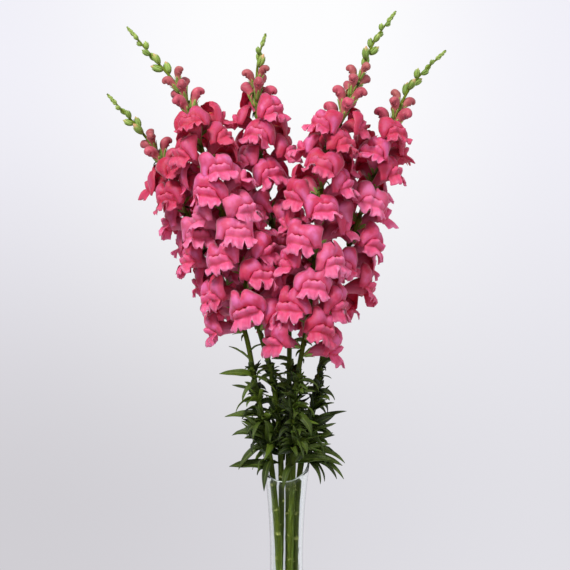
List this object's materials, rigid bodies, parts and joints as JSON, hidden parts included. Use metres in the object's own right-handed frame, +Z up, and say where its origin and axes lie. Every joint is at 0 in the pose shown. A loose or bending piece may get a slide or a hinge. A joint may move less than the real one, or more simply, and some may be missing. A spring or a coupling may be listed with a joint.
{
  "type": "snapdragon bunch in a vase",
  "caption": "Cut snapdragon stems with dense pink flower spikes, standing in a slim clear glass vase with a slant-cut mouth.",
  "frame": {"origin": "centre of the underside of the vase's foot, on the surface that the vase stands on", "axes": "+Z up, along the vase; -Y is the front, where the slant-cut mouth is lowest; +X to the right seen from the front"},
  "size_m": [0.374, 0.1402, 0.784],
  "materials": {
    "glass": "clear and polished",
    "water": "clear",
    "green_stem": "satin, fine ribs and hairs",
    "petal": "velvety",
    "green_bud": "satin"
  },
  "bodies": {
    "root": {"vase": "glass", "water": "water", "stem_far_left": "green_stem", "stem_left": "green_stem", "stem_middle": "green_stem", "stem_right": "green_stem", "stem_far_right": "green_stem", "raceme_far_left": "petal", "raceme_left": "petal", "raceme_middle": "petal", "raceme_right": "petal", "raceme_far_right": "petal", "bud_tip_far_left": "green_bud", "bud_tip_left": "green_bud", "bud_tip_middle": "green_bud", "bud_tip_right": "green_bud", "bud_tip_far_right": "green_bud"}
  },
  "joints": []
}
